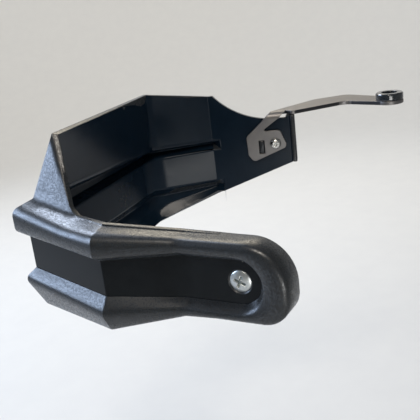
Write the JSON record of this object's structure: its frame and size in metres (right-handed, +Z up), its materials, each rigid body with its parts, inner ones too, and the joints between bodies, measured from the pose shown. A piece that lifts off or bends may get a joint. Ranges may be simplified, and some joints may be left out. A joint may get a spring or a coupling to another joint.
{
  "type": "motorcycle hand guard",
  "caption": "Left-hand motorcycle hand guard: a ridged moulded shell bent round the grip, screwed to the bar end and held by a bent plate under the mirror stem.",
  "frame": {"origin": "on the bar-end screw's axis, where its thread begins just past the seat face that meets the bar", "axes": "+X along the handlebar towards the middle of the motorcycle, +Y forward, +Z up"},
  "size_m": [0.2489, 0.1671, 0.099],
  "materials": {
    "shell": "black moulding, spark-eroded outside, smooth in the band and inside",
    "bracket": "satin grey coat on bent steel plate",
    "collar": "gloss black enamel",
    "stainless": "bright turned",
    "brass": "turned",
    "zinc": "zinc plated"
  },
  "bodies": {
    "root": {"guard_shell": "shell", "mirror_bracket": "bracket", "mirror_collar": "collar", "bracket_screw": "stainless", "bracket_insert": "brass", "bar_end_screw": "zinc"}
  },
  "joints": []
}
